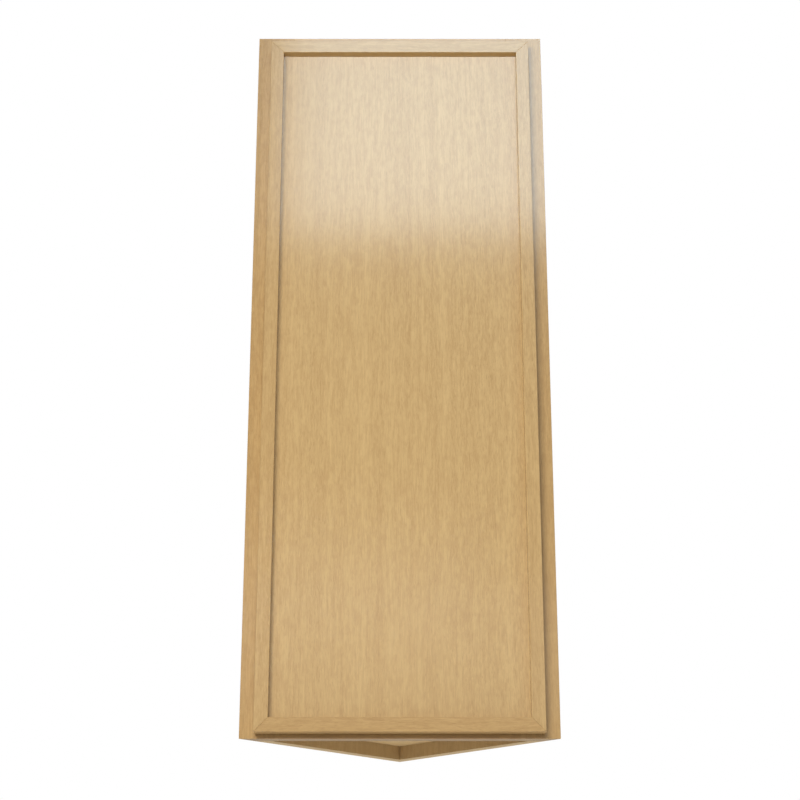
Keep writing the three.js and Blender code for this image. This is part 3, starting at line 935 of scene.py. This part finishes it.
# %% Rounding a line's corners
def rounded(corners, radius, closed=True, steps=6):
    """The line through the corners with an arc of the radius at each.

    Arc point(s) = start + radius * (sin(s * turn) * before + (1 - cos(s * turn)) * side), where
    the start lies radius * tan(turn / 2) before the corner.
    """
    line = np.array(corners, float)
    if closed:
        line = np.concatenate([line[-1:], line, line[:1]])
    runs = np.diff(line, axis=0)
    units = runs / np.linalg.norm(runs, axis=1)[:, None]
    before, after, corner = units[:-1], units[1:], line[1:-1]
    cross = before[:, 0] * after[:, 1] - before[:, 1] * after[:, 0]
    turn = np.arctan2(np.abs(cross), np.sum(before * after, 1))
    side = np.sign(cross)[:, None] * np.stack([-before[:, 1], before[:, 0]], 1)
    start = corner - radius * np.tan(turn / 2)[:, None] * before
    angles = (turn[:, None] * np.linspace(0, 1, steps + 1))[..., None]
    forward = np.sin(angles) * before[:, None]
    aside = (1 - np.cos(angles)) * side[:, None]
    arcs = (start[:, None] + radius * (forward + aside)).reshape(-1, 2)
    return arcs if closed else np.concatenate([line[:1], arcs, line[-1:]])


print("a rounded square has", len(rounded([(0, 0), (1, 0), (1, 1), (0, 1)], 0.2)), "points")

# %% [markdown]
# ## Hinge bosses
#
# The door's stile is only 19 mm wide, too narrow for a common 35 mm hinge cup. So each hinge has
# a slim cast block let into the stile. The block has a mouth for the arm, a bore for the pivot
# pin, and a sunk seat for a screw at each end. Each hollow is cut with a cutter of its own shape.

# %% Hinge bosses
BOSS_EASE = 0.4 * MM
MOUTH_WALL, MOUTH_HALF, BOSS_FLOOR = 0.6 * MM, 7.5 * MM, 1.2 * MM
MOUTH_EASE = 0.2 * MM
PIVOT_R = 1.2 * MM
SEAT_R, SEAT_DEPTH, SEAT_FLARE = 2.6 * MM, 4.5 * MM, 0.4 * MM


def hinge_boss(hinge):
    low, high = hinge_box(hinge, "boss")
    middle = (low + high) / 2
    plan = [(low[0], low[1]), (high[0], low[1]), (high[0], high[1]), (low[0], high[1])]
    boss = board(f"{hinge}_boss", plan, low[2], high[2], BOSS_EASE)

    inside, outside = low[0] + MOUTH_WALL, high[0] - MOUTH_WALL
    floor_y, over_y = low[1] + BOSS_FLOOR, high[1] + OVERCUT
    mouth_plan = [(inside, floor_y), (outside, floor_y), (outside, over_y), (inside, over_y)]
    mouth_low, mouth_high = middle[2] - MOUTH_HALF, middle[2] + MOUTH_HALF
    cutters = [board("mouth", mouth_plan, mouth_low, mouth_high, MOUTH_EASE)]

    pin_low, pin_high = hinge_box(hinge, "pin")
    bore_r = PIVOT_R + BOSS_CLEARANCE
    bore_h = pin_high[2] - pin_low[2] + 2 * BOSS_CLEARANCE
    bore_start = [*((pin_low + pin_high) / 2)[:2], pin_low[2] - BOSS_CLEARANCE]
    bore = [(0, 0), (bore_r, 0), (bore_r, bore_h), (0, bore_h)]
    cutters.append(turned("bore", bore, bore_start, Z))

    through = high[1] - low[1] + OVERCUT
    flare_r = SEAT_R + SEAT_FLARE
    seat = [
        (0, -OVERCUT),
        (flare_r, -OVERCUT),
        (flare_r, 0),
        (SEAT_R, SEAT_FLARE),
        (SEAT_R, SEAT_DEPTH),
        (BOSS_PILOT_R, SEAT_DEPTH),
        (BOSS_PILOT_R, through),
        (0, through),
    ]
    for end in ("lower", "upper"):
        screw_middle = np.mean(hinge_box(hinge, f"boss_screw_{end}"), axis=0)
        cutters.append(turned("seat", seat, [screw_middle[0], high[1], screw_middle[2]], -Y))
    carve(boss, cutters)
    return place(boss, "door", "zinc", zinc, f"{hinge}_hinge_boss")


for hinge in HINGES:
    print(hinge_boss(hinge).name, "made")

# %% [markdown]
# ## Hinge arms, plates and pins
#
# The arm is one strip of sheet steel: rolled round the pin, bent out of the mouth, along the gap
# between door and frame, and in beside the frame's inner edge. The path of the strip's middle is
# the whole design. Offsetting it by half the thickness to either side gives the outline, and the
# outline is carried up by the strip's width.

# %% Hinge arms, plates and pins
ARM_T, EYE_T = 1.2 * MM, 0.85 * MM
EYE_PATH_R = PIVOT_R + BOSS_CLEARANCE + EYE_T / 2
EYE_END, EYE_STEPS = math.radians(-5), 28
THICKEN_STEPS = 8
CRANK = 7.6 * MM
NECK = 5 * MM
BEND_R = 1.3 * MM
ARM_OFF_FRAME = 0.1 * MM
METAL_EASE = 0.12 * MM
ROUND_SPAN = 0.9 * MM
SHEET_HOLE_R, SHEET_HOLE_LENGTH = 1.85 * MM, 8 * MM
PLATE_CORNER_R = 2.5 * MM
PIVOT_EASE = 0.3 * MM


def pivot_of(hinge):
    return np.mean(hinge_box(hinge, "pin"), axis=0)


def arm_path(hinge):
    """The middle of the strip in plan: an arc round the pin, then straight runs with bends."""
    pivot = pivot_of(hinge)[:2]
    low, high = hinge_box(hinge, "arm")
    leave = math.acos(EYE_PATH_R / NECK)
    angles = np.linspace(EYE_END, leave - 2 * math.pi, EYE_STEPS)
    eye = pivot + EYE_PATH_R * np.stack([np.cos(angles), np.sin(angles)], 1)
    gap_y = FRONT_Y - ARM_OFF_FRAME - ARM_T / 2
    wing_x = high[0] - ARM_T / 2
    corners = [
        eye[-1],
        pivot + [NECK, 0],
        pivot + [CRANK, 0],
        (pivot[0] + CRANK, gap_y),
        (wing_x, gap_y),
        (wing_x, high[1]),
    ]
    return np.concatenate([eye[:-1], rounded(corners, BEND_R, closed=False)]), len(eye)


def strip_outline(path, eye_count):
    """The path offset to both sides by half the thickness, which grows from the eye to the neck."""
    heading = np.gradient(path, axis=0)
    heading /= np.linalg.norm(heading, axis=1)[:, None]
    normal = np.stack([-heading[:, 1], heading[:, 0]], 1)
    steps = np.arange(len(path))
    thickens = [eye_count, eye_count + THICKEN_STEPS]
    half = np.interp(steps, thickens, [EYE_T / 2, ARM_T / 2])[:, None]
    return np.concatenate([path + half * normal, (path - half * normal)[::-1]])


def screw_hole(hinge):
    """A cutter along a plate screw's axis."""
    middle = np.mean(hinge_box(hinge, "plate_screw"), axis=0)
    start = np.array([-OPENING_HALF - OVERCUT, middle[1], middle[2]])
    length = SHEET_HOLE_LENGTH
    profile = [(0, 0), (SHEET_HOLE_R, 0), (SHEET_HOLE_R, length), (0, length)]
    return turned("hole", profile, start, X)


def hinge_arm(hinge):
    low, high = hinge_box(hinge, "arm")
    outline = strip_outline(*arm_path(hinge))
    arm = board(f"{hinge}_arm", outline, low[2], high[2], METAL_EASE, round_span=ROUND_SPAN)
    carve(arm, [screw_hole(hinge)])
    return place(arm, "carcass", "nickel", nickel, f"{hinge}_hinge_arm")


def hinge_plate(hinge):
    low, high = hinge_box(hinge, "plate")
    corners = [(low[1], low[2]), (high[1], low[2]), (high[1], high[2]), (low[1], high[2])]
    outline = rounded(corners, PLATE_CORNER_R)
    span = (low[0], high[0])
    plate = board(f"{hinge}_plate", outline, *span, METAL_EASE, (Y, Z, X), round_span=ROUND_SPAN)
    carve(plate, [screw_hole(hinge)])
    return place(plate, "carcass", "nickel", nickel, f"{hinge}_hinge_plate")


def hinge_pin(hinge):
    low, high = hinge_box(hinge, "pin")
    length = high[2] - low[2]
    profile = [
        (0, 0),
        *rounded_end(PIVOT_R, 0, PIVOT_EASE, -1),
        *rounded_end(PIVOT_R, length, PIVOT_EASE, 1),
        (0, length),
    ]
    start = [*pivot_of(hinge)[:2], low[2]]
    pin = turned(f"{hinge}_pivot", profile, start, Z)
    return place(pin, "door", "nickel", nickel, f"{hinge}_hinge_pin")


for hinge in HINGES:
    print([make(hinge).name for make in (hinge_arm, hinge_plate, hinge_pin)])

# %% [markdown]
# ## Screws
#
# A screw is a turned shape with two things that aren't turned: the cross in its head and the
# thread. Both fit the same grid of distance and angle. The head's height is a dome less a cross
# shaped pit, and the shank's radius follows a wave that climbs by one pitch in each turn.

# %% Screws
CROSS_LENGTH, CROSS_HALF_WIDTH, CROSS_DEPTH = 0.62, 0.15, 0.55
ARM_END_SLOPE, ARM_SIDE_SLOPE, ARM_SIDE_SPREAD = 0.15, 0.06, 0.02
HEAD_RINGS = 15
DOME = 0.3
THREAD_DEPTH = 0.22
THREAD_STEPS = 5


def soft_step(value, low, high):
    """0 below low, 1 above high, and share^2 * (3 - 2 * share) between them."""
    share = np.clip((value - low) / (high - low), 0, 1)
    return share * share * (3 - 2 * share)


def screw(name, node, direction, head_r, head_h, shank_r, pitch, body, sides=48):
    """A cross-head screw that fills its CAD box, with its head's top where the box starts.

    Head depth(r, a) = dome * (r / R)^2 + pit, where the pit is deep within the arms of a cross.
    Shank radius(h, a) = shank radius * (1 - depth * wave(h / pitch - a)), drawn in at the tip.
    """
    low, high = box(node)
    length = abs((high - low) @ direction)
    start = (low + high) / 2 - direction * length / 2
    u = np.cross(direction, X if abs(direction[0]) < 0.5 else Z)
    v = np.cross(direction, u)
    angle = np.linspace(0, 2 * math.pi, sides, endpoint=False)

    share = np.linspace(0, 1, HEAD_RINGS)[:, None]
    along_arm = share * np.maximum(abs(np.cos(angle)), abs(np.sin(angle)))
    across_arm = share * np.minimum(abs(np.cos(angle)), abs(np.sin(angle)))
    in_length = 1 - soft_step(along_arm, CROSS_LENGTH - ARM_END_SLOPE, CROSS_LENGTH)
    slope_in, slope_out = CROSS_HALF_WIDTH - ARM_SIDE_SLOPE, CROSS_HALF_WIDTH + ARM_SIDE_SPREAD
    pit = in_length * (1 - soft_step(across_arm, slope_in, slope_out))
    head_depth = head_h * (DOME * share**2 + CROSS_DEPTH * pit)
    head_radius = head_r * share * np.ones(sides)

    rows = int((length - head_h) / pitch * THREAD_STEPS)
    height = np.linspace(head_h, length, rows)[:, None]
    wave = abs(((height / pitch - angle / (2 * math.pi)) % 1) * 2 - 1)
    taper = np.sqrt(np.clip((length - height) / (4 * shank_r), 0, 1))
    shank_radius = shank_r * (1 - THREAD_DEPTH * wave) * taper

    rim = np.full((1, sides), head_r)
    depth = np.concatenate([head_depth, rim * 0 + head_h, height * np.ones(sides)])
    radius = np.concatenate([head_radius, rim, shank_radius])
    ring = np.cos(angle)[:, None] * u + np.sin(angle)[:, None] * v
    points = start + depth[..., None] * direction + radius[..., None] * ring
    quads = grid_quads(len(depth), sides)
    made = new_mesh(name, points, quads.tolist(), [True] * len(quads))
    return place(made, body, "screw_steel", screw_steel, node)


# Head radius, head height, shank radius and pitch.
BOSS_SCREW = (2.3 * MM, 1.4 * MM, 1.1 * MM, 0.9 * MM)
PLATE_SCREW = (3 * MM, 1.6 * MM, 1.7 * MM, 1.4 * MM)
for hinge in HINGES:
    for end in ("lower", "upper"):
        node = f"{hinge}_hinge_boss_screw_{end}"
        screw(f"{hinge}_boss_screw_{end}", node, -Y, *BOSS_SCREW, "door")
    node = f"{hinge}_hinge_plate_screw"
    fixed = screw(f"{hinge}_plate_screw", node, -X, *PLATE_SCREW, "carcass")
    print(fixed.name, "and two boss screws")

# %% [markdown]
# ## Bumpers
#
# Two clear domes on the door's free stile take the knock when it shuts. They are turned from a
# flattened arc, which is how a self-adhesive bumper is moulded.

# %% Bumpers
DOME_STEPS = 8
ROUNDER, FLATTER = 0.6, 0.9


def bumper(end):
    """A dome: radius(a) = R * cos(a)^rounder, height(a) = H * sin(a)^flatter."""
    low, high = box(f"{end}_bumper")
    radius, height = (high[0] - low[0]) / 2, high[1] - low[1]
    angles = np.linspace(0, math.pi / 2, DOME_STEPS + 1)
    radii, heights = radius * np.cos(angles) ** ROUNDER, height * np.sin(angles) ** FLATTER
    arc = np.stack([radii, heights], 1)
    middle = (low + high) / 2
    dome = turned(f"{end}_dome", [(0, 0), *arc], [middle[0], low[1], middle[2]], Y)
    return place(dome, "door", "bumper_rubber", bumper_rubber, f"{end}_bumper")


print([bumper(end).name for end in ("lower", "upper")])

# %% [markdown]
# ## The floor
#
# A wall cabinet hangs at head height, so the floor lies well below it. It isn't part of the
# object: it is a plain pale ground for the views from above, and it gives back some light.

# %% The floor
FLOOR_Z, FLOOR_HALF = -1.37, 4.0
FLOOR_CELLS = 8
ticks = np.linspace(-FLOOR_HALF, FLOOR_HALF, FLOOR_CELLS + 1)
ground_x, ground_y = np.meshgrid(ticks, ticks)
floor_points = np.stack([ground_x, ground_y, np.full_like(ground_x, FLOOR_Z)], -1)
# The grid's columns close into a ring, and a flat floor leaves out the quads that close it.
ring_quads = grid_quads(FLOOR_CELLS + 1, FLOOR_CELLS + 1).reshape(FLOOR_CELLS, -1, 4)
open_quads = ring_quads[:, :FLOOR_CELLS].reshape(-1, 4)
floor = new_mesh("studio_floor", floor_points, open_quads.tolist(), [False] * len(open_quads))
paint = Nodes("pale_floor")
where = paint.add("ShaderNodeTexCoord").outputs["Object"]
PALE, LESS_PALE = rgb(226, 225, 222), rgb(219, 218, 215)
paint.set(Base_Color=paint.blend(paint.noise(where, (3, 3, 3)), PALE, LESS_PALE), Roughness=0.7)
floor.data.materials.append(paint.material)
print("floor at", FLOOR_Z, "m")

# %% [markdown]
# ## Light
#
# Lacquered wood shows its lights twice: once as brightness and once as soft reflections. One big
# lamp would do both at once, and moving it to mend the one would spoil the other. So each lamp
# here has one job:
#
# - the key light stands to the left of the camera and is aimed at the foot of the door. Its beam
#   is narrowed, as by a grid on a softbox, so that it fades towards the top;
# - a large cool panel high above the camera is only seen mirrored, in the upper part of the door;
# - a low, wide strip adds a thin haze to the reflections in the lower part;
# - a lamp on the floor stands for the light that a white floor throws back up, into the recess
#   under the cabinet;
# - a large lamp overhead, behind the face, lights the floor, the top and the legs' outer faces.
#
# The top rail of the door stands forward of the door's panel and would hide part of the mirrored
# lamp, as a dark band under it. So that lamp's light passes through this one piece. Blender calls
# it shadow linking.


# %% Lights
def looking(place_at, aim_at):
    """The matrix that stands at one point and looks along -Z at another, with Y upwards."""
    turn = (Vector(aim_at) - Vector(place_at)).to_track_quat("-Z", "Y")
    return Matrix.LocRotScale(Vector(place_at), turn, None)


def area_light(name, place_at, aim_at, size, power, beam=180):
    """A flat lamp of a given width and height, with its beam as an angle in degrees."""
    lamp = bpy.data.lights.new(name, "AREA")
    lamp.shape = "RECTANGLE"
    lamp.size, lamp.size_y = size
    lamp.energy = power
    lamp.spread = math.radians(beam)
    panel = bpy.data.objects.new(name, lamp)
    panel.matrix_world = looking(place_at, aim_at)
    panel.visible_camera = False
    bpy.context.scene.collection.objects.link(panel)
    print(name, "light:", power, "W")
    return panel


DOOR_FOOT = (0, DOOR_FRONT_Y, 0.1)
key = area_light("key", (-0.5, -2.75, 0.85), DOOR_FOOT, (1.6, 0.4), 26.7, beam=120)
key.visible_glossy = False

mirrored = area_light("mirrored", (0.64, -3.24, 2.98), (0.64, 0, 2.98), (2.06, 1.7), 61)
mirrored.data.color = (0.74, 0.88, 0.95)
mirrored.visible_diffuse = False
unblocked = bpy.data.collections.new("lets_the_mirrored_light_by")
unblocked.objects.link(bpy.data.objects["top_rail_of_door"])
unblocked.collection_objects[0].light_linking.link_state = "EXCLUDE"
mirrored.light_linking.blocker_collection = unblocked

haze = area_light("haze", (0.2, -3.24, 0.72), (0.2, 0, 0.72), (2.4, 0.45), 1.9)
haze.visible_diffuse = False

bounce = area_light("bounce", (0, -0.05, FLOOR_Z + 10 * MM), (0, -0.05, 0), (1.4, 0.9), 9)
bounce.visible_glossy = False

overhead = area_light("overhead", (0, 1.8, 3.2), (0, 1.8, 0), (4, 4), 170)

# %% [markdown]
# The world does two things. The camera sees it as plain white, and everything else is lit by it
# as a weak, even fill.

# %% The world
WORLD_FILL = 0.21
world = bpy.data.worlds.new("studio")
bpy.context.scene.world = world
world.use_nodes = True
tree = world.node_tree
tree.nodes.clear()
fill = tree.nodes.new("ShaderNodeBackground")
fill.inputs["Strength"].default_value = WORLD_FILL
backdrop = tree.nodes.new("ShaderNodeBackground")
for background in (fill, backdrop):
    background.inputs["Color"].default_value = (1, 1, 1, 1)
seen_by_camera = tree.nodes.new("ShaderNodeLightPath").outputs["Is Camera Ray"]
either = tree.nodes.new("ShaderNodeMixShader")
tree.links.new(seen_by_camera, either.inputs[0])
tree.links.new(fill.outputs[0], either.inputs[1])
tree.links.new(backdrop.outputs[0], either.inputs[2])
world_output = tree.nodes.new("ShaderNodeOutputWorld")
tree.links.new(either.outputs[0], world_output.inputs["Surface"])
bpy.context.scene.view_settings.view_transform = "Standard"
print("the world fills at", WORLD_FILL)

# %% [markdown]
# ## The camera
#
# The camera stands 2.4 m in front of the cabinet and below it, and looks up at nearly 20 degrees.
# That is how one sees a wall cabinet from across a kitchen, and it is why the upright sides draw
# together towards the top.

# %% The camera
CAMERA_DISTANCE, CAMERA_Z, CAMERA_SIDE = 2.4162, -0.3753, -0.0016
CAMERA_PITCH, CAMERA_TURN = 19.487, -0.044
lens = bpy.data.cameras.new("camera")
lens.sensor_width, lens.lens = 36, 81.02
camera = bpy.data.objects.new("camera", lens)
camera.location = (CAMERA_SIDE, FRONT_Y - CAMERA_DISTANCE, CAMERA_Z)
camera.rotation_euler = (math.radians(90 + CAMERA_PITCH), 0, math.radians(CAMERA_TURN))
bpy.context.scene.collection.objects.link(camera)
bpy.context.scene.camera = camera
print("camera at", [round(value, 3) for value in camera.location])
